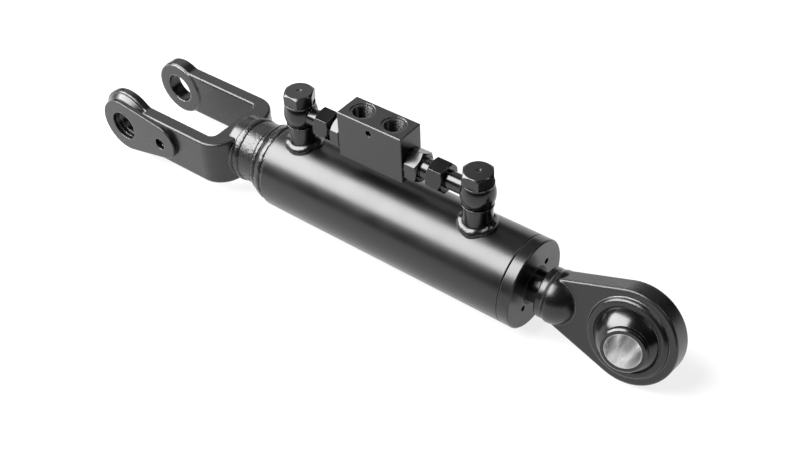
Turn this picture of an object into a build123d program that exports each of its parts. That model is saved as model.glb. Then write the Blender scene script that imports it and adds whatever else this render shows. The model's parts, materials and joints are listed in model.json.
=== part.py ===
"""Hydraulic tractor top link: cylinder, forked end, swivel-ball eye and double check valve.

Millimetres. The origin is the centre of the fork's pin bore, +X runs along the link to the
eye, Y is the fork's pin axis and +Z is the side that carries the valve block.
"""
import os
from math import sqrt

from build123d import *

# Clearances
seat_gap = 0.05          # radial, between round pieces that are fixed together
running_gap = 0.05       # radial, between a sliding or turning piece and its guide
ring_side_gap = 0.05     # beside a ring in its groove
stop_gap = 0.5           # left at each end of the stroke
ball_gap = 0.3           # radial, swivel ball in its seat
pin_clearance = 0.3      # radial, hitch pin in a bore
cut_past = 1.0           # a cutting or joining shape's reach past a face
same_place = 0.01        # two places nearer than this are one

# Barrel
barrel_diameter = 70.0
barrel_wall = 5.0
tube_length = 225.0
pin_to_tube = 152.0
joint_edge = 0.7         # chamfers that make the groove between the tube and the gland

# Base cap, the neck behind it and the two weld passes on its shoulder
neck_diameter = 52.0
neck_length = 17.5
shoulder_length = 16.0
cap_land_drop = 2.0      # cap's land below the barrel's surface
cap_land_length = 3.0
cap_spigot = 10.0
pass_height = 2.0        # a weld pass's crown over the shoulder
valley_height = 1.2      # valley between the passes over the shoulder
valley_share = 0.4       # the valley's place along the shoulder

# Fork
hitch_pin = 25.4
ear_gap = 50.0           # between the ears' inner bosses
ear_boss_height = 1.0
ear_boss_diameter = 46.5
far_ear_diameter = 48.0
near_ear_diameter = 58.0
near_ear_step = 4.0      # near ear's outer face set back from its arm's
ear_step_room = 1.0      # radial, between the near ear's rim and the arm's step
ear_corner = 9.0         # radius where an ear runs into its arm
arm_thickness = 11.5
arm_height = 40.0
gap_depth = 94.0         # pin to the flat bottom of the fork's gap
gap_corner = 5.5
fork_length = 112.0      # pin to the fork's back
fork_corner = 22.0
fork_edge_round = 1.8
fork_root_start = 3.0    # gap's bottom to the start of the round root
fork_root_cone = 7.0
fork_root_diameter = 36.0
fork_weld_length = 7.0
fork_weld_height = 1.2

# Lock plate outside the near ear
lock_plate_thickness = 4.0
lock_plate_diameter = 48.0
lock_plate_edge = 0.8
tail_diameter = 32.0     # round end of the plate's tail
tail_reach = 44.5
tail_rise = 2.2
lock_hole_diameter = 10.6
lock_hole_reach = 44.0
spacer_foot_diameter = 55.0

# Rod, piston and stroke
stroke = 120.0
rod_diameter = 25.0
rod_spigot_diameter = 20.0
piston_side_gap = 0.5
nut_height = 14.0
nut_flats = 30.0
rod_end_past_nut = 2.0
piston_land = 2.5        # metal beside each of the piston's grooves
piston_seal_width = 8.0
piston_seal_depth = 5.0
wear_ring_width = 5.0
wear_ring_depth = 2.5
piston_o_ring_section = 2.6

# Gland
gland_flange = 10.0
gland_edge = 1.0
gland_insert = 30.0
gland_nose_diameter = 42.0
gland_o_ring_section = 3.0
gland_o_ring_back = 4.0  # metal between the inner end and the o-ring's groove
o_ring_room = 0.6        # groove's width past the o-ring's section
gland_rod_play = 0.5     # radial, metal of the gland round the rod
gland_web = 3.0          # metal between two of the gland's grooves
wiper_width = 6.0
wiper_depth = 3.0
rod_seal_width = 8.0
rod_seal_depth = 5.0
guide_width = 10.0
guide_depth = 2.5
spanner_hole_diameter = 5.0
spanner_hole_depth = 6.0
spanner_circle = 38.0
spanner_angles = (40.0, 220.0)

# Rod eye and its ball
eye_from_gland = 80.0    # gland face to the eye's centre with the rod right in
eye_roll = -14.0         # the eye's turn about the link's axis as it lies at rest
eye_diameter = 73.0
eye_thickness = 17.0
eye_edge_round = 1.5
eye_root_width = 37.0
eye_root_reach = 60.5    # eye's centre back to the plate's root
eye_collar_diameter = 61.0
eye_collar_height = 3.5
eye_collar_round = 3.0
eye_neck_diameter = 41.0
rod_show = 10.5          # rod seen between the gland and the collar
rod_into_eye = 14.0
collar_length = 6.0
collar_diameter = 39.0
collar_round = 1.5
ball_diameter = 54.0
ball_width = 51.0
ball_shoulder_diameter = 34.0
ball_edge = 1.2
ball_swing = 11.0        # the ball's turn in the eye as it lies at rest

# Ports, banjos and their bolts
rear_port_inset = 20.0   # tube's rear end to the rear port
front_port_inset = 40.0  # front port to the tube's front end
boss_diameter = 22.6
boss_top = 52.5
port_drill_diameter = 8.0
bead_diameter = 31.0
bead_height = 4.6
bead_round = 2.4
washer_thickness = 1.5
washer_diameter = 24.0
banjo_height = 17.4
banjo_face_diameter = 22.0
banjo_bulge_diameter = 26.6
banjo_gallery_diameter = 19.0
banjo_gallery_height = 7.0
banjo_stub_diameter = 14.0
banjo_stub_bore = 7.0
bolt_diameter = 16.0
bolt_flats = 22.0
bolt_head_height = 9.5
bolt_into_boss = 12.0
boss_thread_room = 1.0   # thread's depth past the bolt's end
bolt_drill_diameter = 7.0
bolt_cross_drill_diameter = 5.0
bolt_dimple_diameter = 4.0
bolt_dimple_depth = 0.6
rear_head_turn = 0.0
front_head_turn = 4.0
hex_face_ratio = 0.95    # flat end circle of a hexagon over its width across flats
hex_chamfer = 1.8        # how far a hexagon's corners are turned down
hex_corner_room = 0.2    # the turned cone's reach past the corners

# Valve block and the unions at its ends
block_from_port = 47.5   # rear port to the block
block_length = 59.0
block_width = 24.0
block_height = 40.0
block_below_line = 12.6  # block's underside below the valve line
block_edge = 0.6
top_port_pitch = 29.0
top_port_diameter = 15.0
top_port_depth = 12.0
spot_face_diameter = 19.4
spot_face_depth = 0.8
gallery_diameter = 6.0
side_hole_diameter = 5.0
side_hole_depth = 7.0
side_hole_below_top = 7.3
adaptor_thread_diameter = 18.0
adaptor_thread_length = 9.0
adaptor_flats = 22.0
adaptor_neck_diameter = 16.4
adaptor_flow_diameter = 7.0
rear_hex_length = 8.5
front_hex_length = 10.5
rear_neck_length = 2.5
front_neck_length = 7.5
seal_ring_thickness = 1.5
seal_ring_diameter = 21.0
union_thread_diameter = 18.4
union_thread_length = 8.0
union_flats = 22.0
union_lip = 3.0          # nut's end wall behind the stub's olive
olive_diameter = 17.0
olive_length = 3.0
rear_union_turn = 15.0
front_union_turn = 41.6

# Check-valve internals
pilot_diameter = 9.0
pilot_length = 24.0
pilot_pin_diameter = 3.4
pilot_pin_gap = 0.2      # pin's end to a poppet's nose at rest
poppet_diameter = 11.0
poppet_nose = 2.4        # cone's reach into the seat
poppet_seat_gap = 0.2
poppet_length = 5.6      # from the seat to the poppet's back
spring_length = 7.0
spring_wire = 1.1
spring_diameter = 9.4
spring_turns = 3

# Places worked out from the sizes above
barrel_radius = barrel_diameter / 2
bore_radius = barrel_radius - barrel_wall
rod_radius = rod_diameter / 2
neck_radius = neck_diameter / 2
tube_front = pin_to_tube + tube_length
gland_face = tube_front + gland_flange
gland_inner = tube_front - gland_insert
cap_face = pin_to_tube + cap_spigot
cap_land = barrel_radius - cap_land_drop
shoulder_end = pin_to_tube - cap_land_length
shoulder_start = shoulder_end - shoulder_length
neck_rear = shoulder_start - neck_length
arm_inner = ear_gap / 2 + ear_boss_height
arm_outer = arm_inner + arm_thickness
near_ear_face = arm_outer - near_ear_step
bend_start = min(gap_depth - gap_corner, fork_length - fork_corner)
pin_bore_radius = hitch_pin / 2 + pin_clearance
piston_radius = bore_radius - piston_side_gap
piston_length = 4 * piston_land + 2 * wear_ring_width + piston_seal_width
rod_end = cap_face + stop_gap
nut_rear = rod_end + rod_end_past_nut
piston_rear = nut_rear + nut_height
piston_front = piston_rear + piston_length
front_wear_ring = piston_front - piston_land - wear_ring_width
rear_wear_ring = piston_rear + piston_land
piston_seal_start = rear_wear_ring + wear_ring_width + piston_land
nose_end = piston_front + stroke + stop_gap
wiper_start = gland_face - wiper_width
rod_seal_start = wiper_start - gland_web - rod_seal_width
guide_start = rod_seal_start - gland_web - guide_width
eye_x = gland_face + eye_from_gland
collar_rear = gland_face + rod_show
collar_front = collar_rear + collar_length
rod_tip = collar_front + rod_into_eye
eye_pose = Pos(eye_x, 0, 0) * Rot(eye_roll, 0, 0)
rear_port_x = pin_to_tube + rear_port_inset
front_port_x = tube_front - front_port_inset
banjo_base = boss_top + washer_thickness
banjo_top = banjo_base + banjo_height
head_base = banjo_top + washer_thickness
valve_line = (banjo_base + banjo_top) / 2
block_rear_x = rear_port_x + block_from_port
block_mid_x = block_rear_x + block_length / 2
block_bottom = valve_line - block_below_line
block_top = block_bottom + block_height
union_length = union_thread_length + olive_length + union_lip
rear_union_start = seal_ring_thickness + rear_hex_length + rear_neck_length
front_union_start = seal_ring_thickness + front_hex_length + front_neck_length
seat_reach = block_length / 2 - adaptor_thread_length
spring_seat = poppet_length + spring_length - adaptor_thread_length


def lathe_x(outline):
    """Solid turned about the link's axis from a closed outline of (x, radius) points."""
    return revolve(make_face(Polyline(*outline, close=True)), Axis.X)


def lathe_z(outline):
    """Solid turned about Z from a closed outline of (radius, z) points."""
    return revolve(Plane.XZ * make_face(Polyline(*outline, close=True)), Axis.Z)


def ring_x(start, end, inner, outer):
    """Plain ring round the link's axis between two places along it."""
    return lathe_x([(start, inner), (end, inner), (end, outer), (start, outer)])


def rod_x(start, end, radius):
    """Plain cylinder on the link's axis between two places along it."""
    return ring_x(start, end, 0, radius)


def rod_z(start, end, radius):
    """Plain cylinder on Z between two heights."""
    return Pos(0, 0, start) * extrude(Circle(radius), end - start)


def torus_x(place, middle_radius, section):
    """O-ring round the link's axis."""
    return Pos(place, 0, 0) * Rot(0, 90, 0) * Torus(middle_radius, section / 2)


def hexagon(flats, length, base_chamfered=False):
    """Hexagon bar on Z with a corner on +X, its corners turned down at the top or both ends."""
    corner = flats / sqrt(3) + hex_corner_room
    face = hex_face_ratio * flats / 2
    foot = [(face, 0), (corner, hex_chamfer)] if base_chamfered else [(corner, 0)]
    outline = [(0, 0), *foot, (corner, length - hex_chamfer), (face, length), (0, length)]
    return extrude(RegularPolygon(flats / 2, 6, major_radius=False), length) & lathe_z(outline)


def on_valve_line(solid, place, facing):
    """Lays a solid that stands on Z along the valve line, pointing to +X or to -X."""
    return Pos(place, 0, valve_line) * Rot(0, 90 * facing, 0) * solid


def slab_y(outline, start, end):
    """Flat piece across Y from an outline of (x, z), between two places on the side of +Y."""
    return extrude(Plane.XZ.offset(-start) * outline, start - end)


# Barrel and base
def make_barrel_tube():
    tube = lathe_x([
        (pin_to_tube, bore_radius),
        (tube_front, bore_radius),
        (tube_front, barrel_radius - joint_edge),
        (tube_front - joint_edge, barrel_radius),
        (pin_to_tube, barrel_radius),
    ])
    for place in (rear_port_x, front_port_x):
        tube -= Pos(place, 0, 0) * rod_z(0, boss_top, port_drill_diameter / 2)
    return tube


def make_base_cap():
    spigot = bore_radius - seat_gap
    return lathe_x([
        (neck_rear, 0),
        (neck_rear, neck_radius),
        (shoulder_start, neck_radius),
        (shoulder_end, cap_land),
        (pin_to_tube, cap_land),
        (pin_to_tube, spigot),
        (cap_face, spigot),
        (cap_face, 0),
    ])


def on_shoulder(share, rise):
    """Point at a share of the cap's cone from the neck, and at a height over it."""
    radius = neck_radius + share * (cap_land - neck_radius)
    return (shoulder_start + share * shoulder_length, radius + rise)


def make_base_weld():
    """Two passes side by side up the cap's cone."""
    foot = on_shoulder(0, 0)
    valley = on_shoulder(valley_share, valley_height)
    top = on_shoulder(1, 0)
    lower = ThreePointArc(foot, on_shoulder(valley_share / 2, pass_height), valley)
    upper = ThreePointArc(valley, on_shoulder((1 + valley_share) / 2, pass_height), top)
    return revolve(make_face([lower, upper, Line(top, foot)]), Axis.X)


# Fork
def make_arm(ear_diameter, ear_face):
    """One arm with its ear on the side of +Y; the arm is thicker than the ear where they differ."""
    bar = Pos(bend_start / 2, 0) * Rectangle(bend_start, arm_height)
    outline = Circle(ear_diameter / 2) + bar
    corners = outline.vertices().filter_by(lambda v: 0 < v.X < bend_start - cut_past)
    arm = slab_y(fillet(corners, ear_corner), arm_inner, ear_face)
    rims = arm.edges().filter_by(lambda e: (e @ 0.5).X < bend_start - cut_past)
    arm = fillet(rims.filter_by(Axis.Y, reverse=True), fork_edge_round)
    if ear_face < arm_outer:
        outer = slab_y(bar, (arm_inner + ear_face) / 2, arm_outer)
        outer = fillet(outer.edges().filter_by(Axis.X).sort_by(Axis.Y)[-2:], fork_edge_round)
        arm += outer - slab_y(Circle(ear_diameter / 2 + ear_step_room), 0, arm_outer + cut_past)
    return arm + slab_y(Circle(ear_boss_diameter / 2), ear_gap / 2, arm_inner + cut_past)


def make_fork():
    """Forged yoke: two arms, a square-bottomed bend between them and a round root behind it."""
    plan = Pos(fork_length / 2, 0) * Rectangle(fork_length, 2 * arm_outer)
    plan = fillet(plan.vertices().group_by(Axis.X)[-1], fork_corner)
    gap = Pos(gap_depth / 2, 0) * Rectangle(gap_depth, 2 * arm_inner)
    plan -= fillet(gap.vertices().group_by(Axis.X)[-1], gap_corner)
    plan -= Pos(bend_start / 2, 0) * Rectangle(bend_start, 2 * arm_outer)
    bend = extrude(plan, arm_height / 2, both=True)
    rims = bend.edges().filter_by(lambda e: (e @ 0.5).X > bend_start + same_place)
    bend = fillet(rims.filter_by(Axis.Z, reverse=True), fork_edge_round)
    root_start = gap_depth + fork_root_start
    root = lathe_x([
        (root_start, 0),
        (neck_rear, 0),
        (neck_rear, neck_radius),
        (root_start + fork_root_cone, neck_radius),
        (root_start, fork_root_diameter / 2),
    ])
    far_arm = make_arm(far_ear_diameter, arm_outer)
    near_arm = mirror(make_arm(near_ear_diameter, near_ear_face), about=Plane.XZ)
    yoke = far_arm + near_arm + bend + root
    lock_hole = Pos(lock_hole_reach, 0) * Circle(lock_hole_diameter / 2)
    yoke -= extrude(Plane.XZ * lock_hole, arm_outer + cut_past)
    return yoke - extrude(Plane.XZ * Circle(pin_bore_radius), arm_outer + cut_past, both=True)


def make_fork_weld():
    inner = neck_radius + seat_gap
    start = (neck_rear - fork_weld_length / 2, inner)
    end = (neck_rear + fork_weld_length / 2, inner)
    crown = ThreePointArc(start, (neck_rear, neck_radius + fork_weld_height), end)
    return revolve(make_face([Line(end, start), crown]), Axis.X)


def make_lock_plate():
    rim = Circle(lock_plate_diameter / 2)
    tail = Pos(tail_reach, tail_rise) * Circle(tail_diameter / 2)
    seat = Plane.XZ.offset(arm_outer)
    plate = extrude(seat * make_hull(rim.edges() + tail.edges()), lock_plate_thickness)
    plate = fillet(plate.faces().sort_by(Axis.Y)[0].edges(), lock_plate_edge)
    holes = Circle(pin_bore_radius) + Pos(lock_hole_reach, 0) * Circle(lock_hole_diameter / 2)
    return plate - extrude(seat * holes, lock_plate_thickness)


def make_lock_plate_spacer():
    """Coned ring that brings the stepped-back ear out to the plate."""
    ring = lathe_z([
        (pin_bore_radius, 0),
        (spacer_foot_diameter / 2, 0),
        (lock_plate_diameter / 2, near_ear_step),
        (pin_bore_radius, near_ear_step),
    ])
    return Pos(0, -near_ear_face, 0) * Rot(90, 0, 0) * ring


# Ports and banjo fittings
def make_port_boss(place):
    thread_end = boss_top - bolt_into_boss - boss_thread_room
    boss = rod_z(0, boss_top, boss_diameter / 2) - rod_z(0, boss_top, port_drill_diameter / 2)
    boss -= rod_z(thread_end, boss_top, bolt_diameter / 2 + seat_gap)
    return Pos(place, 0, 0) * boss - rod_x(pin_to_tube, tube_front, barrel_radius)


def make_port_weld(place):
    """Saddle-shaped bead: a ring round the boss, kept to an even height over the barrel."""
    outer = bead_diameter / 2
    top = barrel_radius + bead_height
    ring = rod_z(0, boss_top, outer) - rod_z(0, boss_top, boss_diameter / 2 + seat_gap)
    bead = Pos(place, 0, 0) * ring & rod_x(pin_to_tube, tube_front, top)
    bead -= rod_x(pin_to_tube, tube_front, barrel_radius)

    def on_rim(edge):
        spot = edge @ 0.5
        from_boss = sqrt((spot.X - place) ** 2 + spot.Y ** 2)
        from_axis = sqrt(spot.Y ** 2 + spot.Z ** 2)
        return max(abs(from_boss - outer), abs(from_axis - top)) < same_place

    return fillet(bead.edges().filter_by(on_rim), bead_round)


def make_banjo(place, turn, stub_length):
    face = banjo_face_diameter / 2
    bulge = ThreePointArc((face, banjo_base), (banjo_bulge_diameter / 2, valve_line), (face, banjo_top))
    core = Polyline((face, banjo_top), (0, banjo_top), (0, banjo_base), (face, banjo_base))
    body = revolve(Plane.XZ * make_face([bulge, core]), Axis.Z)
    stub = rod_z(0, stub_length, banjo_stub_diameter / 2)
    stub += rod_z(stub_length - olive_length, stub_length, olive_diameter / 2)
    half_gallery = banjo_gallery_height / 2
    body += on_valve_line(stub, 0, 1)
    body -= on_valve_line(rod_z(0, stub_length, banjo_stub_bore / 2), 0, 1)
    body -= rod_z(banjo_base, banjo_top, bolt_diameter / 2 + seat_gap)
    body -= rod_z(valve_line - half_gallery, valve_line + half_gallery, banjo_gallery_diameter / 2)
    return Pos(place, 0, 0) * Rot(0, 0, turn) * body


def make_banjo_bolt(place, turn):
    shank_end = boss_top - bolt_into_boss
    bolt = Pos(0, 0, head_base) * Rot(0, 0, turn) * hexagon(bolt_flats, bolt_head_height)
    bolt += rod_z(shank_end, head_base, bolt_diameter / 2)
    cross = rod_z(-bolt_diameter, bolt_diameter, bolt_cross_drill_diameter / 2)
    bolt -= on_valve_line(cross, 0, 1)
    bolt -= rod_z(shank_end, valve_line + bolt_drill_diameter / 2, bolt_drill_diameter / 2)
    head_top = head_base + bolt_head_height
    bolt -= rod_z(head_top - bolt_dimple_depth, head_top, bolt_dimple_diameter / 2)
    return Pos(place, 0, 0) * bolt


def make_banjo_washers():
    washers = []
    ring = Circle(washer_diameter / 2) - Circle(bolt_diameter / 2 + seat_gap)
    for place in (rear_port_x, front_port_x):
        for height in (boss_top, banjo_top):
            washers.append(Pos(place, 0, height) * extrude(ring, washer_thickness))
    return Compound(children=washers)


# Valve block and its unions, each union laid out from the block's end face outwards
def block_end(facing):
    return block_mid_x + facing * block_length / 2


def make_valve_block():
    block = chamfer(Box(block_length, block_width, block_height).edges(), block_edge)
    block = Pos(block_mid_x, 0, block_bottom + block_height / 2) * block
    along = rod_z(-seat_reach, seat_reach, pilot_diameter / 2)
    block -= on_valve_line(along, block_mid_x, 1)
    for facing in (-1, 1):
        thread = rod_z(seat_reach, block_length / 2, adaptor_thread_diameter / 2)
        block -= on_valve_line(thread, block_mid_x, facing)
        port = rod_z(block_top - top_port_depth, block_top, top_port_diameter / 2)
        port += rod_z(block_top - spot_face_depth, block_top, spot_face_diameter / 2)
        port += rod_z(valve_line, block_top, gallery_diameter / 2)
        block -= Pos(block_mid_x + facing * top_port_pitch / 2, 0, 0) * port
    side_hole = Plane.XZ.offset(block_width / 2) * Circle(side_hole_diameter / 2)
    side_hole = extrude(side_hole, -side_hole_depth)
    return block - Pos(block_mid_x, 0, block_top - side_hole_below_top) * side_hole


def make_valve_adaptor(facing, hex_length, neck_length):
    hex_start = seal_ring_thickness
    hex_end = hex_start + hex_length
    union_start = hex_end + neck_length
    tip = union_start + union_thread_length
    body = rod_z(-adaptor_thread_length, hex_start, adaptor_thread_diameter / 2 - seat_gap)
    body += Pos(0, 0, hex_start) * hexagon(adaptor_flats, hex_length)
    body += rod_z(hex_end, union_start, adaptor_neck_diameter / 2)
    body += rod_z(union_start, tip, union_thread_diameter / 2 - seat_gap)
    body -= rod_z(-adaptor_thread_length, spring_seat, poppet_diameter / 2 + running_gap)
    body -= rod_z(spring_seat, tip, adaptor_flow_diameter / 2)
    return on_valve_line(body, block_end(facing), facing)


def make_adaptor_seals():
    ring = Circle(seal_ring_diameter / 2) - Circle(adaptor_thread_diameter / 2)
    ring = extrude(ring, seal_ring_thickness)
    return Compound(children=[on_valve_line(ring, block_end(facing), facing) for facing in (-1, 1)])


def make_union_nut(facing, union_start, turn):
    lip_start = union_length - union_lip
    nut = hexagon(union_flats, union_length, base_chamfered=True)
    nut -= rod_z(0, lip_start, union_thread_diameter / 2)
    nut -= rod_z(lip_start, union_length, banjo_stub_diameter / 2 + seat_gap)
    nut = Pos(0, 0, union_start) * Rot(0, 0, turn) * nut
    return on_valve_line(nut, block_end(facing), facing)


def make_pilot_piston():
    pin_end = seat_reach - poppet_nose - pilot_pin_gap
    piston = rod_z(-pilot_length / 2, pilot_length / 2, pilot_diameter / 2 - running_gap)
    piston += rod_z(-pin_end, pin_end, pilot_pin_diameter / 2)
    return on_valve_line(piston, block_mid_x, 1)


def make_poppet(facing):
    """Cone-nosed poppet, closed: its seat is the rim of the pilot bore."""
    at_seat = pilot_diameter / 2 - poppet_seat_gap
    guide = poppet_diameter / 2
    poppet = lathe_z([
        (0, -poppet_nose),
        (at_seat - poppet_nose, -poppet_nose),
        (guide, guide - at_seat),
        (guide, poppet_length),
        (0, poppet_length),
    ])
    return on_valve_line(Pos(0, 0, seat_reach) * poppet, block_mid_x, facing)


def make_poppet_spring(facing):
    height = spring_length - spring_wire - 2 * ring_side_gap
    radius = (spring_diameter - spring_wire) / 2
    path = Helix(height / spring_turns, height, radius)
    wire = Plane(origin=path @ 0, z_dir=path % 0) * Circle(spring_wire / 2)
    coil = sweep(wire, path)
    start = seat_reach + poppet_length + ring_side_gap + spring_wire / 2
    return on_valve_line(Pos(0, 0, start) * coil, block_mid_x, facing)


# Gland and the rings in it
def o_ring_groove(place, section, floor, mouth):
    half = (section + o_ring_room) / 2
    return ring_x(place - half, place + half, floor, mouth)


def gland_o_ring_place():
    return gland_inner + gland_o_ring_back + (gland_o_ring_section + o_ring_room) / 2


def make_gland():
    insert = bore_radius - seat_gap
    gland = lathe_x([
        (nose_end, rod_radius + gland_rod_play),
        (gland_face, rod_radius + gland_rod_play),
        (gland_face, barrel_radius - gland_edge),
        (gland_face - gland_edge, barrel_radius),
        (tube_front + joint_edge, barrel_radius),
        (tube_front, barrel_radius - joint_edge),
        (tube_front, insert),
        (gland_inner, insert),
        (gland_inner, gland_nose_diameter / 2),
        (nose_end, gland_nose_diameter / 2),
    ])
    grooves = (
        (wiper_start, wiper_width, wiper_depth),
        (rod_seal_start, rod_seal_width, rod_seal_depth),
        (guide_start, guide_width, guide_depth),
    )
    for start, width, depth in grooves:
        gland -= ring_x(start, start + width, rod_radius, rod_radius + depth)
    floor = bore_radius - running_gap - gland_o_ring_section
    gland -= o_ring_groove(gland_o_ring_place(), gland_o_ring_section, floor, barrel_radius)
    for angle in spanner_angles:
        hole = Pos(gland_face - spanner_hole_depth, spanner_circle / 2, 0) * Rot(0, 90, 0)
        hole = hole * extrude(Circle(spanner_hole_diameter / 2), spanner_hole_depth)
        gland -= Rot(angle, 0, 0) * hole
    return gland


def make_gland_o_ring():
    middle = bore_radius - running_gap - gland_o_ring_section / 2
    return torus_x(gland_o_ring_place(), middle, gland_o_ring_section - 2 * ring_side_gap)


def make_gland_ring(start, width, depth):
    return ring_x(start, start + width, rod_radius + running_gap, rod_radius + depth)


# Piston, rod and the rings on the piston
def make_piston():
    piston = ring_x(piston_rear, piston_front, rod_spigot_diameter / 2 + seat_gap, piston_radius)
    grooves = (
        (rear_wear_ring, wear_ring_width, wear_ring_depth),
        (piston_seal_start, piston_seal_width, piston_seal_depth),
        (front_wear_ring, wear_ring_width, wear_ring_depth),
    )
    for start, width, depth in grooves:
        piston -= ring_x(start, start + width, piston_radius - depth, bore_radius)
    middle = (piston_rear + piston_front) / 2
    mouth = rod_spigot_diameter / 2
    return piston - o_ring_groove(middle, piston_o_ring_section, mouth, mouth + piston_o_ring_section)


def make_piston_o_ring():
    middle = rod_spigot_diameter / 2 + piston_o_ring_section / 2
    section = piston_o_ring_section - 2 * ring_side_gap
    return torus_x((piston_rear + piston_front) / 2, middle, section)


def make_piston_ring(start, width, depth):
    inner = piston_radius - depth + running_gap
    return ring_x(start + ring_side_gap, start + width - ring_side_gap, inner, bore_radius - running_gap)


def make_piston_wear_rings():
    starts = (rear_wear_ring, front_wear_ring)
    rings = [make_piston_ring(start, wear_ring_width, wear_ring_depth) for start in starts]
    return Compound(children=rings)


def make_piston_nut():
    nut = hexagon(nut_flats, nut_height, base_chamfered=True)
    nut -= rod_z(0, nut_height, rod_spigot_diameter / 2 + seat_gap)
    return Pos(nut_rear, 0, 0) * Rot(0, 90, 0) * nut


def make_piston_rod():
    spigot = rod_x(rod_end, piston_front, rod_spigot_diameter / 2)
    return spigot + rod_x(piston_front, rod_tip, rod_radius)


# Eye and ball
def make_eye_collar():
    collar = ring_x(collar_rear, collar_front, rod_radius + seat_gap, collar_diameter / 2)
    outer_rim = collar.edges().sort_by(lambda e: e.length)[-2:]
    return fillet(outer_rim.sort_by(Axis.X)[:1], collar_round)


def tangent_point(x, z, radius):
    """Where a line from (x, z) touches a circle at the origin, on the side of +z."""
    squared = x * x + z * z
    along = radius * radius / squared
    across = radius * sqrt(squared - radius * radius) / squared
    return (along * x + across * z, along * z - across * x)


def make_rod_eye():
    """Forged eye: flat tapered plate, raised collars round the ball, round neck with a domed end."""
    radius = eye_diameter / 2
    half_root = eye_root_width / 2
    touch = tangent_point(-eye_root_reach, half_root, radius)
    taper = Polygon(
        (-eye_root_reach, -half_root),
        (touch[0], -touch[1]),
        touch,
        (-eye_root_reach, half_root),
        align=None,
    )
    plate = extrude(Plane.XZ * (Circle(radius) + taper), eye_thickness / 2, both=True)
    rims = plate.edges().filter_by(lambda e: (e @ 0.5).X > cut_past - eye_root_reach)
    plate = fillet(rims.filter_by(Axis.Y, reverse=True), eye_edge_round)
    seat = ball_diameter / 2 + ball_gap
    proud = eye_thickness / 2 + eye_collar_height
    collars = extrude(Plane.XZ * Circle(eye_collar_diameter / 2), proud, both=True)
    collars = fillet(collars.edges().filter_by(GeomType.CIRCLE), eye_collar_round)
    eye = eye_pose * (plate + collars - Sphere(seat))
    neck_round = eye_neck_diameter / 2
    dome_centre = eye_x - eye_root_reach
    straight = Polyline(
        (dome_centre, neck_round),
        (collar_front, collar_diameter / 2),
        (collar_front, 0),
        (dome_centre + neck_round, 0),
    )
    dome = RadiusArc((dome_centre, neck_round), (dome_centre + neck_round, 0), neck_round)
    neck = revolve(make_face([straight, dome]), Axis.X)
    return eye + neck - rod_x(collar_front, rod_tip, rod_radius + seat_gap)


def make_swivel_ball():
    half = ball_width / 2
    shoulder = ball_shoulder_diameter / 2
    bore = pin_bore_radius
    ball = Sphere(ball_diameter / 2) - rod_z(-ball_diameter, ball_diameter, bore)
    necks = lathe_z([
        (bore, -half),
        (shoulder - ball_edge, -half),
        (shoulder, -half + ball_edge),
        (shoulder, half - ball_edge),
        (shoulder - ball_edge, half),
        (bore, half),
    ])
    slab = Box(ball_diameter, ball_diameter, ball_width)
    return eye_pose * Rot(0, 0, ball_swing) * Rot(-90, 0, 0) * ((ball & slab) + necks)


rear_stub = block_rear_x - rear_union_start - union_thread_length - rear_port_x
front_stub = front_port_x - (block_rear_x + block_length + front_union_start + union_thread_length)

nodes = {
    "barrel_tube": make_barrel_tube(),
    "base_cap": make_base_cap(),
    "base_weld": make_base_weld(),
    "fork": make_fork(),
    "fork_weld": make_fork_weld(),
    "lock_plate": make_lock_plate(),
    "lock_plate_spacer": make_lock_plate_spacer(),
    "port_boss_rear": make_port_boss(rear_port_x),
    "port_boss_front": make_port_boss(front_port_x),
    "port_weld_rear": make_port_weld(rear_port_x),
    "port_weld_front": make_port_weld(front_port_x),
    "banjo_rear": make_banjo(rear_port_x, 0, rear_stub),
    "banjo_front": make_banjo(front_port_x, 180, front_stub),
    "banjo_bolt_rear": make_banjo_bolt(rear_port_x, rear_head_turn),
    "banjo_bolt_front": make_banjo_bolt(front_port_x, front_head_turn),
    "banjo_washers": make_banjo_washers(),
    "valve_block": make_valve_block(),
    "valve_adaptor_rear": make_valve_adaptor(-1, rear_hex_length, rear_neck_length),
    "valve_adaptor_front": make_valve_adaptor(1, front_hex_length, front_neck_length),
    "adaptor_seals": make_adaptor_seals(),
    "union_nut_rear": make_union_nut(-1, rear_union_start, rear_union_turn),
    "union_nut_front": make_union_nut(1, front_union_start, front_union_turn),
    "pilot_piston": make_pilot_piston(),
    "poppet_rear": make_poppet(-1),
    "poppet_front": make_poppet(1),
    "poppet_spring_rear": make_poppet_spring(-1),
    "poppet_spring_front": make_poppet_spring(1),
    "gland": make_gland(),
    "gland_o_ring": make_gland_o_ring(),
    "rod_wiper": make_gland_ring(wiper_start, wiper_width, wiper_depth),
    "rod_seal": make_gland_ring(rod_seal_start, rod_seal_width, rod_seal_depth),
    "rod_guide_ring": make_gland_ring(guide_start, guide_width, guide_depth),
    "piston": make_piston(),
    "piston_o_ring": make_piston_o_ring(),
    "piston_seal": make_piston_ring(piston_seal_start, piston_seal_width, piston_seal_depth),
    "piston_wear_rings": make_piston_wear_rings(),
    "piston_nut": make_piston_nut(),
    "piston_rod": make_piston_rod(),
    "eye_collar": make_eye_collar(),
    "rod_eye": make_rod_eye(),
    "swivel_ball": make_swivel_ball(),
}

os.makedirs("parts", exist_ok=True)
for name, solid in nodes.items():
    export_step(solid, f"parts/{name}.step")
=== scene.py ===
import json
from math import atan, cos, pi, radians, sin

import bpy
import numpy as np
from mathutils import Matrix, Vector


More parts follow.
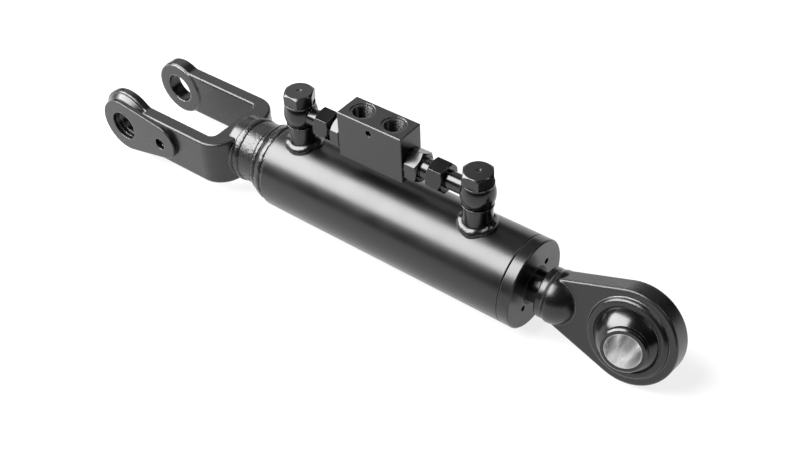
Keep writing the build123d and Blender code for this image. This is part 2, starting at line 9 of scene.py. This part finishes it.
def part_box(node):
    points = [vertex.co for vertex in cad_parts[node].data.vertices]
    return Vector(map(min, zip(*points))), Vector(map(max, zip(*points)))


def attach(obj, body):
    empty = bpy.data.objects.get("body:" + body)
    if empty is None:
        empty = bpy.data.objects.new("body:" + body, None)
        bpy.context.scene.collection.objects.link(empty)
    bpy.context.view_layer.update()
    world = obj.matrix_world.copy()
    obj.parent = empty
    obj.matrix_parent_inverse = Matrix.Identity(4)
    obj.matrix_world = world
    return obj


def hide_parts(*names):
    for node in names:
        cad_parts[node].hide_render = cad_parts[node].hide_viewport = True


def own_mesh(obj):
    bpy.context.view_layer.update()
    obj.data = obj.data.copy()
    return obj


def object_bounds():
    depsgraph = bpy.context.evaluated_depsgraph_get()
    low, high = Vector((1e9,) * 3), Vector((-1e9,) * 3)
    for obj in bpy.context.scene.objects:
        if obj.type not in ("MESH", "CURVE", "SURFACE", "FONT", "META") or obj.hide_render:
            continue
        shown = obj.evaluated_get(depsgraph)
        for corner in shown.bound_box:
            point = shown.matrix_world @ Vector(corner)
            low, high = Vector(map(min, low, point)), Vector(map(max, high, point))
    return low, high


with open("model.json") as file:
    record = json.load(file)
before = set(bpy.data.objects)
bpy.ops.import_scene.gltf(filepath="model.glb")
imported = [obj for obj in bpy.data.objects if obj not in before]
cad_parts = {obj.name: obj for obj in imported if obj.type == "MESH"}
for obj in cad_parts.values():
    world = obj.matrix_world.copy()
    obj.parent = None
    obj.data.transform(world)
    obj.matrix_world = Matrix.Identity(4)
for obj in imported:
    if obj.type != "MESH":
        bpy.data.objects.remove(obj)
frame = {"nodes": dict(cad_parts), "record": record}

MM = 0.001
nodes = frame["nodes"]
cad_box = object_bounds()

# Sizes of the link that the added pieces and the bare faces follow, in millimetres
BARREL_R = 35.0
NECK_R, NECK_REAR = 26.0, 115.5
SHOULDER_START, SHOULDER_END, CAP_LAND_R = 133.0, 149.0, 33.0
PORTS_X = {"rear": 172.0, "front": 337.0}
BOSS_R = 11.3
BLOCK_TOP, BLOCK_MID = 90.1, 249.0
TOP_PORT_PITCH, TOP_PORT_R, TOP_PORT_DEPTH = 29.0, 7.5, 12.0
GLAND_FACE = 387.0
EYE_X, EYE_ROLL, BALL_SWING = 467.0, radians(-14.0), radians(11.0)
PIN_BORE_R = 13.0
SPRING_WIRE, SPRING_TURNS, POPPET_LIFT = 1.1, 3, 2.5
DRAWN_TUBE_START = 151.0
THREAD_PITCH = 1.34

# Sizes of the patterns in the finishes, in millimetres; grain and peel are coarser than real to show
CLOUD_MM, PEEL_MM, PEEL_DEPTH_MM = 26, 1.1, 0.004
STREAK_MM, STREAK_DEPTH_MM, STAIN_MM, TOOL_MARK_DEPTH_MM = 5, 0.008, 9, 0.01
MOULD_GRAIN_DEPTH_MM = 0.01


def linear(colour):
    """sRGB hex to linear RGBA."""
    parts = np.array([int(colour[i:i + 2], 16) for i in (1, 3, 5)]) / 255
    low, high = parts / 12.92, ((parts + 0.055) / 1.055) ** 2.4
    return (*np.where(parts <= 0.04045, low, high).tolist(), 1.0)


def add(tree, kind, inputs=(), **settings):
    """Adds a node, sets its options, and fills its named inputs with values or links."""
    made = tree.nodes.new(kind)
    for key, value in settings.items():
        setattr(made, key, value)
    for socket, value in dict(inputs).items():
        if isinstance(value, bpy.types.NodeSocket):
            tree.links.new(value, made.inputs[socket])
        else:
            made.inputs[socket].default_value = value
    return made


def start_material(name):
    """New material with its tree, its shader and the Object coordinates."""
    material = bpy.data.materials.new(name)
    material.use_nodes = True
    tree = material.node_tree
    shader = tree.nodes["Principled BSDF"]
    return material, tree, shader, add(tree, "ShaderNodeTexCoord").outputs["Object"]


def sprayed_black(name, colour, thin, roughness, skin_mm, skin_depth_mm, edge_mm, smooth_past_mm=None):
    """Black enamel sprayed on steel: a semi-gloss skin that shows the steel's own grain under
    it, a fine orange peel over that, and along every edge a paler colour that is a painted
    highlight, with a round glossy lip that catches the light. Past smooth_past_mm along the
    link the steel is drawn tube and its grain all but goes."""
    material, tree, shader, place = start_material(name)
    cloud = add(tree, "ShaderNodeTexNoise", {"Vector": place, "Scale": 1 / (CLOUD_MM * MM), "Detail": 3.0})
    skin = add(tree, "ShaderNodeTexNoise", {"Vector": place, "Scale": 1 / (skin_mm * MM), "Detail": 5.0})
    peel = add(tree, "ShaderNodeTexNoise", {"Vector": place, "Scale": 1 / (PEEL_MM * MM), "Detail": 2.0})
    rounded = add(tree, "ShaderNodeBevel", {"Radius": edge_mm * MM}, samples=6).outputs["Normal"]
    facing = add(tree, "ShaderNodeNewGeometry").outputs["Normal"]
    even = add(tree, "ShaderNodeVectorMath", {0: rounded, 1: facing}, operation="DOT_PRODUCT")
    edge = add(tree, "ShaderNodeMapRange", {
        "Value": even.outputs["Value"], "From Min": 0.995, "From Max": 0.80, "To Max": 0.8,
    })
    shade = add(tree, "ShaderNodeMix", {
        0: cloud.outputs["Fac"], 6: linear(colour), 7: linear(thin),
    }, data_type="RGBA")
    # painted highlight: every edge is tinted paler so that it reads as catching the light
    painted_edge_highlight = add(tree, "ShaderNodeMix", {
        0: edge.outputs["Result"], 6: shade.outputs[2], 7: linear("#565657"),
    }, data_type="RGBA")
    gloss = add(tree, "ShaderNodeMapRange", {
        "Value": cloud.outputs["Fac"], "From Min": 0.3, "From Max": 0.7,
        "To Min": roughness - 0.03, "To Max": roughness + 0.04,
    })
    under = add(tree, "ShaderNodeBump", {
        "Height": skin.outputs["Fac"], "Distance": skin_depth_mm * MM, "Normal": rounded,
    })
    if smooth_past_mm:
        along = add(tree, "ShaderNodeSeparateXYZ", {"Vector": place})
        grain = add(tree, "ShaderNodeMapRange", {
            "Value": along.outputs["X"], "From Min": (smooth_past_mm - 1) * MM,
            "From Max": smooth_past_mm * MM, "To Min": 1.0, "To Max": 0.003,
        })
        tree.links.new(grain.outputs["Result"], under.inputs["Strength"])
    over = add(tree, "ShaderNodeBump", {
        "Height": peel.outputs["Fac"], "Distance": PEEL_DEPTH_MM * MM,
        "Normal": under.outputs["Normal"],
    })
    shader.inputs["Coat Roughness"].default_value = 0.15
    tree.links.new(edge.outputs["Result"], shader.inputs["Coat Weight"])
    tree.links.new(under.outputs["Normal"], shader.inputs["Coat Normal"])
    tree.links.new(painted_edge_highlight.outputs[2], shader.inputs["Base Color"])
    tree.links.new(gloss.outputs["Result"], shader.inputs["Roughness"])
    tree.links.new(over.outputs["Normal"], shader.inputs["Normal"])
    return material


def bare_steel(name, light, dark, roughness, line_mm):
    """Bare turned or drawn steel: fine tool lines across the link that spread the shine."""
    material, tree, shader, place = start_material(name)
    drawn_out = add(tree, "ShaderNodeMapping", {"Vector": place, "Scale": (1.0, 0.02, 0.02)})
    lines = add(tree, "ShaderNodeTexNoise", {
        "Vector": drawn_out.outputs["Vector"], "Scale": 1 / (line_mm * MM), "Detail": 3.0,
    })
    stain = add(tree, "ShaderNodeTexNoise", {"Vector": place, "Scale": 1 / (STAIN_MM * MM), "Detail": 5.0})
    shade = add(tree, "ShaderNodeMix", {
        0: stain.outputs["Fac"], 6: linear(light), 7: linear(dark),
    }, data_type="RGBA")
    gloss = add(tree, "ShaderNodeMapRange", {
        "Value": lines.outputs["Fac"], "From Min": 0.3, "From Max": 0.7,
        "To Min": roughness - 0.06, "To Max": roughness + 0.08,
    })
    marks = add(tree, "ShaderNodeBump", {
        "Height": lines.outputs["Fac"], "Distance": TOOL_MARK_DEPTH_MM * MM,
    })
    shader.inputs["Metallic"].default_value = 1.0
    tree.links.new(shade.outputs[2], shader.inputs["Base Color"])
    tree.links.new(gloss.outputs["Result"], shader.inputs["Roughness"])
    tree.links.new(marks.outputs["Normal"], shader.inputs["Normal"])
    return material


def moulded(name, light, dark, roughness, grain_mm):
    """Moulded rubber or bearing polymer: matt, with a faint grain and a mottled colour."""
    material, tree, shader, place = start_material(name)
    grain = add(tree, "ShaderNodeTexNoise", {"Vector": place, "Scale": 1 / (grain_mm * MM), "Detail": 4.0})
    shade = add(tree, "ShaderNodeMix", {
        0: grain.outputs["Fac"], 6: linear(light), 7: linear(dark),
    }, data_type="RGBA")
    bump = add(tree, "ShaderNodeBump", {
        "Height": grain.outputs["Fac"], "Distance": MOULD_GRAIN_DEPTH_MM * MM,
    })
    shader.inputs["Roughness"].default_value = roughness
    tree.links.new(shade.outputs[2], shader.inputs["Base Color"])
    tree.links.new(bump.outputs["Normal"], shader.inputs["Normal"])
    return material


def painted_outside(material, name, mask_from, light, dark, roughness, stretch):
    """A painted piece with one bare steel face: mask_from gives 1 where the steel is bare, and
    stretch draws the steel's cloudy streaks out along the way it was machined."""
    mixed = material.copy()
    mixed.name = name
    tree = mixed.node_tree
    paint = tree.nodes["Principled BSDF"]
    place = add(tree, "ShaderNodeTexCoord").outputs["Object"]
    drawn_out = add(tree, "ShaderNodeMapping", {"Vector": place, "Scale": stretch})
    streak = add(tree, "ShaderNodeTexNoise", {
        "Vector": drawn_out.outputs["Vector"], "Scale": 1 / (STREAK_MM * MM), "Detail": 6.0,
    })
    contrast = add(tree, "ShaderNodeMapRange", {
        "Value": streak.outputs["Fac"], "From Min": 0.35, "From Max": 0.65,
    })
    shade = add(tree, "ShaderNodeMix", {
        0: contrast.outputs["Result"], 6: linear(light), 7: linear(dark),
    }, data_type="RGBA")
    gloss = add(tree, "ShaderNodeMapRange", {
        "Value": streak.outputs["Fac"], "From Min": 0.3, "From Max": 0.7,
        "To Min": roughness - 0.06, "To Max": roughness + 0.1,
    })
    marks = add(tree, "ShaderNodeBump", {"Height": streak.outputs["Fac"], "Distance": STREAK_DEPTH_MM * MM})
    steel = add(tree, "ShaderNodeBsdfPrincipled", {
        "Base Color": shade.outputs[2], "Metallic": 1.0, "Roughness": gloss.outputs["Result"],
        "Normal": marks.outputs["Normal"],
    })
    both = add(tree, "ShaderNodeMixShader", {
        0: mask_from(tree, place), 1: paint.outputs["BSDF"], 2: steel.outputs["BSDF"],
    })
    tree.links.new(both.outputs["Shader"], tree.nodes["Material Output"].inputs["Surface"])
    return mixed


def inside_the_ball(tree, place):
    """1 on the ball's bore, which the paint was kept out of: near the bore's own axis."""
    axis = (-sin(BALL_SWING), cos(BALL_SWING) * cos(EYE_ROLL), cos(BALL_SWING) * sin(EYE_ROLL))
    centred = add(tree, "ShaderNodeVectorMath", {0: place, 1: (EYE_X * MM, 0, 0)}, operation="SUBTRACT")
    arm = add(tree, "ShaderNodeVectorMath", {
        0: centred.outputs["Vector"], 1: axis,
    }, operation="CROSS_PRODUCT")
    away = add(tree, "ShaderNodeVectorMath", {0: arm.outputs["Vector"]}, operation="LENGTH")
    return add(tree, "ShaderNodeMapRange", {
        "Value": away.outputs["Value"],
        "From Min": (PIN_BORE_R + 0.25) * MM, "From Max": (PIN_BORE_R + 0.1) * MM,
    }).outputs["Result"]


def inside_the_barrel(tree, place):
    """1 on the length of rod that lay inside the barrel when the link was sprayed."""
    parts = add(tree, "ShaderNodeSeparateXYZ", {"Vector": place})
    return add(tree, "ShaderNodeMapRange", {
        "Value": parts.outputs["X"],
        "From Min": (GLAND_FACE + 0.5) * MM, "From Max": (GLAND_FACE - 0.5) * MM,
    }).outputs["Result"]


tube_enamel = sprayed_black(
    "black_enamel_on_drawn_tube", "#070708", "#0b0b0c", roughness=0.30,
    skin_mm=2.4, skin_depth_mm=0.45, edge_mm=0.7, smooth_past_mm=DRAWN_TUBE_START)
forged_enamel = sprayed_black(
    "black_enamel_on_forged_steel", "#080809", "#0f0f10", roughness=0.26,
    skin_mm=2.6, skin_depth_mm=0.07, edge_mm=2.0)
weld_enamel = sprayed_black(
    "black_enamel_on_weld_bead", "#080809", "#101011", roughness=0.27,
    skin_mm=2.6, skin_depth_mm=0.42, edge_mm=0.3)
plate_enamel = sprayed_black(
    "black_enamel_on_cut_plate", "#090909", "#0f0f10", roughness=0.28,
    skin_mm=4.0, skin_depth_mm=0.03, edge_mm=1.1)
fitting_enamel = sprayed_black(
    "black_enamel_on_turned_fittings", "#060607", "#0a0a0b", roughness=0.20,
    skin_mm=5.0, skin_depth_mm=0.015, edge_mm=0.5)
block_enamel = sprayed_black(
    "black_enamel_on_milled_block", "#090909", "#0f0f10", roughness=0.28,
    skin_mm=5.0, skin_depth_mm=0.02, edge_mm=0.7)
rod_finish = painted_outside(
    fitting_enamel, "hard_chrome_rod_sprayed_at_its_end", inside_the_barrel,
    "#c9cacc", "#b5b6b8", roughness=0.17, stretch=(1, 1, 1))
ball_finish = painted_outside(
    fitting_enamel, "enamelled_ball_with_bare_bore", inside_the_ball,
    "#fbfbfb", "#cdcdce", roughness=0.32, stretch=(1, 0.12, 1))

finish_of_slot = {
    "tube_paint": tube_enamel,
    "weld_paint": weld_enamel,
    "forging_paint": forged_enamel,
    "plate_paint": plate_enamel,
    "fitting_paint": fitting_enamel,
    "block_paint": block_enamel,
    "rod_chrome": rod_finish,
    "ball_steel": ball_finish,
    "inner_steel": bare_steel("turned_steel_oiled", "#b9b8b5", "#8f8d89", 0.28, 0.6),
    "spring_steel": bare_steel("drawn_spring_wire", "#8c8d90", "#5e5f62", 0.32, 0.5),
    "seal_rubber": moulded("moulded_nitrile_rubber", "#141415", "#1c1c1d", 0.55, 1.2),
    "ring_polymer": moulded("filled_bearing_polymer", "#7a2f18", "#5f2412", 0.5, 0.9),
}
for sub in frame["record"]["subparts"]:
    for place in nodes[sub["node"]].material_slots:
        place.material = finish_of_slot[sub["material_slot"]]


def added_piece(name, points, faces, slot):
    """Object from points in millimetres and faces, riding the barrel with its slot's finish."""
    mesh = bpy.data.meshes.new(name)
    mesh.from_pydata((points.reshape(-1, 3) * MM).tolist(), [], faces)
    mesh.shade_smooth()
    mesh.materials.append(finish_of_slot[slot])
    made = bpy.data.objects.new(name, mesh)
    bpy.context.scene.collection.objects.link(made)
    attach(made, "barrel")
    return made


def grid_faces(index, closed_u):
    """Quads of a grid of point numbers, closed round its second side and perhaps its first."""
    if closed_u:
        index = np.concatenate([index, index[:1]])
    index = np.concatenate([index, index[:, :1]], 1)
    quads = np.stack([index[:-1, :-1], index[1:, :-1], index[1:, 1:], index[:-1, 1:]], -1)
    return quads.reshape(-1, 4).tolist()


def tube_surface(name, points, slot, closed_u=True):
    """A section carried along a path; a path that isn't closed is capped at both ends."""
    index = np.arange(points.shape[0] * points.shape[1]).reshape(points.shape[:2])[:, ::-1]
    faces = grid_faces(index, closed_u)
    if not closed_u:
        faces += [index[0].tolist(), index[-1, ::-1].tolist()]
    return added_piece(name, points, faces, slot)


def angles(count):
    """Evenly spaced angles round a full turn."""
    return np.linspace(0, 2 * pi, count, endpoint=False)


def weld_band(name, middle, foot_r, slope, half_width, crown, turn):
    """Weld pass round the link's axis: a half-round section laid on a cone of the given slope
    and carried round a circle. Sines of three lengths make its height and edges wander, and a
    fine one that lags at the edges leaves the faint crescents of a run bead."""
    a = angles(720)[:, None]
    t = angles(28)[None, :]
    tilt = atan(slope)
    ripples = round(2 * pi * foot_r / 3.4)
    across = np.cos(t)
    wander = 0.05 * np.sin(9 * a + turn) + 0.04 * np.sin(23 * a + 2 * turn)
    height = 1 + 0.012 * np.sin(ripples * a + 2.4 * across ** 2) + 0.07 * np.sin(7 * a + 3 * turn)
    along = half_width * across * (1 + wander)
    over = crown * np.clip(np.sin(t), -0.2, None) * height
    x = middle + along * cos(tilt) - over * sin(tilt)
    r = foot_r + along * sin(tilt) + over * cos(tilt)
    return tube_surface(name, np.stack([x, r * np.cos(a), r * np.sin(a)], -1), "weld_paint")


def port_bead(name, place, turn):
    """Bead in the corner of a boss and the barrel: an arc from the boss down to the barrel,
    carried round the boss over the barrel's own curve, its toe and height gently waved."""
    a = angles(360)[:, None]
    t = np.linspace(0, 1, 14)[None, :]
    lump = np.sin(5 * a + turn) + 0.5 * np.sin(8 * a + 2 * turn) + 0.4 * np.sin(3 * a - turn)
    reach = 4.3 + 0.42 * lump
    height = 4.4 + 0.40 * np.roll(lump, 11, axis=0)
    out = BOSS_R - 0.1 + reach * np.sin(t * pi / 2) ** 0.85
    over = height * np.cos(t * pi / 2) ** 0.8 - 0.15
    rho = np.concatenate([out, np.full_like(a, BOSS_R - 0.1)], 1)
    h = np.concatenate([over, np.full_like(a, -0.15)], 1)
    x, y = place + rho * np.cos(a), rho * np.sin(a)
    z = np.sqrt(BARREL_R ** 2 - y ** 2) + h
    return tube_surface(name, np.stack([x, y, z], -1), "weld_paint")


def port_thread(name, place):
    """Thread in a top port: a ridge of trapezium section carried down a helix on the port's wall."""
    turns = int((TOP_PORT_DEPTH - 2.5) / THREAD_PITCH)
    a = np.linspace(0, 2 * pi * turns, 48 * turns)[:, None]
    ridge = np.array([[0.02, -0.6], [-0.7, -0.12], [-0.7, 0.12], [0.02, 0.6]]) * [1, THREAD_PITCH]
    r = TOP_PORT_R + ridge[None, :, 0]
    z = BLOCK_TOP - 1.6 - a * THREAD_PITCH / (2 * pi) + ridge[None, :, 1]
    points = np.stack([place + r * np.cos(a), r * np.sin(a), z + 0 * r], -1)
    return tube_surface(name, points, "block_paint", closed_u=False)


def spring_coil(name, node):
    """Coil spring in the box of its CAD node: a round wire carried along a helix about the box's
    middle line, with the wire's outside touching the box."""
    low, high = (np.array(corner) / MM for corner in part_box(node))
    a = np.linspace(0, 2 * pi * SPRING_TURNS, 40 * SPRING_TURNS)[:, None]
    t = angles(12)[None, :]
    wire = SPRING_WIRE / 2
    climb = (high[0] - low[0] - SPRING_WIRE) * a / a[-1]
    x = low[0] + wire + climb - wire * np.sin(t)
    r = (high[1] - low[1]) / 2 - wire + wire * np.cos(t)
    middle = (low + high) / 2
    points = np.stack([x, middle[1] + r * np.cos(a), middle[2] + r * np.sin(a)], -1)
    return tube_surface(name, points, "spring_steel", closed_u=False)


def spatter(name, count, seed):
    """Weld spatter on the neck: small balls, each a sphere set part way into the steel."""
    draw = np.random.default_rng(seed)
    x = draw.uniform(NECK_REAR + 5, SHOULDER_START - 1, count)
    a = draw.uniform(0, 2 * pi, count)
    size = draw.uniform(0.25, 0.6, count)
    u, v = angles(7)[:, None], np.linspace(0.02, pi - 0.02, 10)[None, :]
    ball = np.stack([np.cos(v) + 0 * u, np.cos(u) * np.sin(v), np.sin(u) * np.sin(v)], -1)
    ball = ball.transpose(1, 0, 2)
    centre = np.stack([x, (NECK_R - 0.1) * np.cos(a), (NECK_R - 0.1) * np.sin(a)], -1)
    points = centre[:, None, None, :] + size[:, None, None, None] * ball
    index = np.arange(points[..., 0].size).reshape(points.shape[:3])
    faces = []
    for drop in index:
        faces += grid_faces(drop, False) + [drop[0].tolist(), drop[-1, ::-1].tolist()]
    return added_piece(name, points, faces, "weld_paint")


cone = (CAP_LAND_R - NECK_R) / (SHOULDER_END - SHOULDER_START)
fork_bead = weld_band(
    "fork_bead", NECK_REAR, NECK_R, slope=0.0, half_width=3.4, crown=1.15, turn=0.4)
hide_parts("fork_weld")
inner_pass = weld_band(
    "shoulder_pass_inner", middle=136.2, foot_r=27.4, slope=cone, half_width=3.4, crown=1.9, turn=2.1)
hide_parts("base_weld")
weld_band(
    "shoulder_pass_outer", middle=144.2, foot_r=30.9, slope=cone, half_width=5.0, crown=1.9, turn=3.3)
for label, place in PORTS_X.items():
    bead = port_bead(f"port_bead_{label}", place, turn=0.7 if label == "rear" else 2.9)
    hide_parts(f"port_weld_{label}")
    side = -1 if label == "rear" else 1
    port_thread(f"top_port_thread_{label}", BLOCK_MID + side * TOP_PORT_PITCH / 2)
spatter("neck_spatter", count=60, seed=7)
for label in PORTS_X:
    node = f"poppet_spring_{label}"
    coil = spring_coil(f"poppet_coil_{label}", node)
    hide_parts(node)
    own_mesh(coil)


def in_scene(name, data):
    """Object for a lamp, a camera or the floor, put in the scene."""
    made = bpy.data.objects.new(name, data)
    bpy.context.scene.collection.objects.link(made)
    return made


def background_rays(tree):
    """1 for the camera's rays and for mirrored ones, so that shiny pieces show the same white."""
    rays = add(tree, "ShaderNodeLightPath").outputs
    mirrored = add(tree, "ShaderNodeMath", {
        0: rays["Is Glossy Ray"], 1: rays["Is Transmission Ray"],
    }, operation="MAXIMUM")
    return add(tree, "ShaderNodeMath", {
        0: rays["Is Camera Ray"], 1: mirrored.outputs["Value"],
    }, operation="MAXIMUM").outputs["Value"]


# Floor: pale and lit by the lamps; the camera and reflections see it part way to its own white
FLOOR_HALF = 6.0
FLOOR_GAP = 0.0005
OWN_WHITE = 0.8
floor_z = cad_box[0].z - FLOOR_GAP
floor_mesh = bpy.data.meshes.new("floor")
sides = (-FLOOR_HALF, FLOOR_HALF)
floor_mesh.from_pydata([(x, y, floor_z) for y in sides for x in sides], [], [(0, 1, 3, 2)])
floor = in_scene("floor", floor_mesh)
floor_paint = bpy.data.materials.new("studio_floor")
floor_paint.use_nodes = True
tree = floor_paint.node_tree
tree.nodes.clear()
seen = background_rays(tree)
share = add(tree, "ShaderNodeMath", {0: seen, 1: OWN_WHITE}, operation="MULTIPLY")
pale = add(tree, "ShaderNodeMix", {
    0: seen, 6: linear("#9c9c9c"), 7: linear("#fbfbfb"),
}, data_type="RGBA")
lit = add(tree, "ShaderNodeBsdfDiffuse", {"Color": pale.outputs[2]})
own = add(tree, "ShaderNodeEmission", {"Color": (1, 1, 1, 1), "Strength": 1.0})
both = add(tree, "ShaderNodeMixShader", {
    0: share.outputs["Value"], 1: lit.outputs["BSDF"], 2: own.outputs["Emission"],
})
add(tree, "ShaderNodeOutputMaterial", {"Surface": both.outputs["Shader"]})
floor_mesh.materials.append(floor_paint)


# Light: a broad softbox over the near side, a dim panel far left, a low one behind and a small
# strip over the eye that draws the far side of the barrel
def softbox(name, place, aim, along_x, across, watts):
    """Rectangular lamp at a place, turned to its aim with its long side kept along the link."""
    lamp = bpy.data.lights.new(name, "AREA")
    lamp.shape = "RECTANGLE"
    lamp.size = along_x
    lamp.size_y = across
    lamp.energy = watts
    away = (Vector(place) - Vector(aim)).normalized()
    side = (Vector((1, 0, 0)) - away.x * away).normalized()
    turn = Matrix((side, away.cross(side), away)).transposed().to_4x4()
    in_scene(name, lamp).matrix_world = Matrix.Translation(place) @ turn


softbox("overhead", (-0.55, -0.56, 1.02), (0.2, 0.0, 0.035), along_x=1.8, across=1.05, watts=110.0)
softbox("left_panel", (-1.75, 1.5, 1.8), (0.2, 0.0, 0.05), along_x=1.9, across=1.6, watts=10.0)
softbox("low_back_panel", (-1.8, 3.0, 0.35), (-1.8, 0.0, 0.05), along_x=5.0, across=0.7, watts=16.0)
softbox("eye_strip", (1.25, 0.45, 1.15), (0.25, 0.0, 0.03), along_x=0.9, across=0.25, watts=5.0)

world = bpy.data.worlds.new("studio")
bpy.context.scene.world = world
world.use_nodes = True
world.node_tree.nodes["Background"].inputs["Color"].default_value = linear("#1c1c1e")

# Camera: fitted to the photograph's barrel end, block corners and pin bores
FOCAL_PX, IMAGE_WIDTH, SENSOR_MM = 1178.27, 800, 36.0
AZIMUTH, ELEVATION, CAMERA_ROLL = radians(39.4), radians(42.08), radians(-2.74)
CAMERA_PLACE = (0.6921, -0.5203, 0.6018)
back = Vector((sin(AZIMUTH) * cos(ELEVATION), -cos(AZIMUTH) * cos(ELEVATION), sin(ELEVATION)))
level_right = Vector((cos(AZIMUTH), sin(AZIMUTH), 0))
level_up = back.cross(level_right)
right = cos(CAMERA_ROLL) * level_right + sin(CAMERA_ROLL) * level_up
up = cos(CAMERA_ROLL) * level_up - sin(CAMERA_ROLL) * level_right
lens = bpy.data.cameras.new("photo_camera")
lens.sensor_fit = "HORIZONTAL"
lens.sensor_width = SENSOR_MM
lens.lens = FOCAL_PX * SENSOR_MM / IMAGE_WIDTH
lens.clip_start = 0.01
camera = in_scene("photo_camera", lens)
turn = Matrix((right, up, back)).transposed().to_4x4()
camera.matrix_world = Matrix.Translation(CAMERA_PLACE) @ turn
bpy.context.scene.camera = camera
bpy.context.scene.view_settings.view_transform = "Standard"
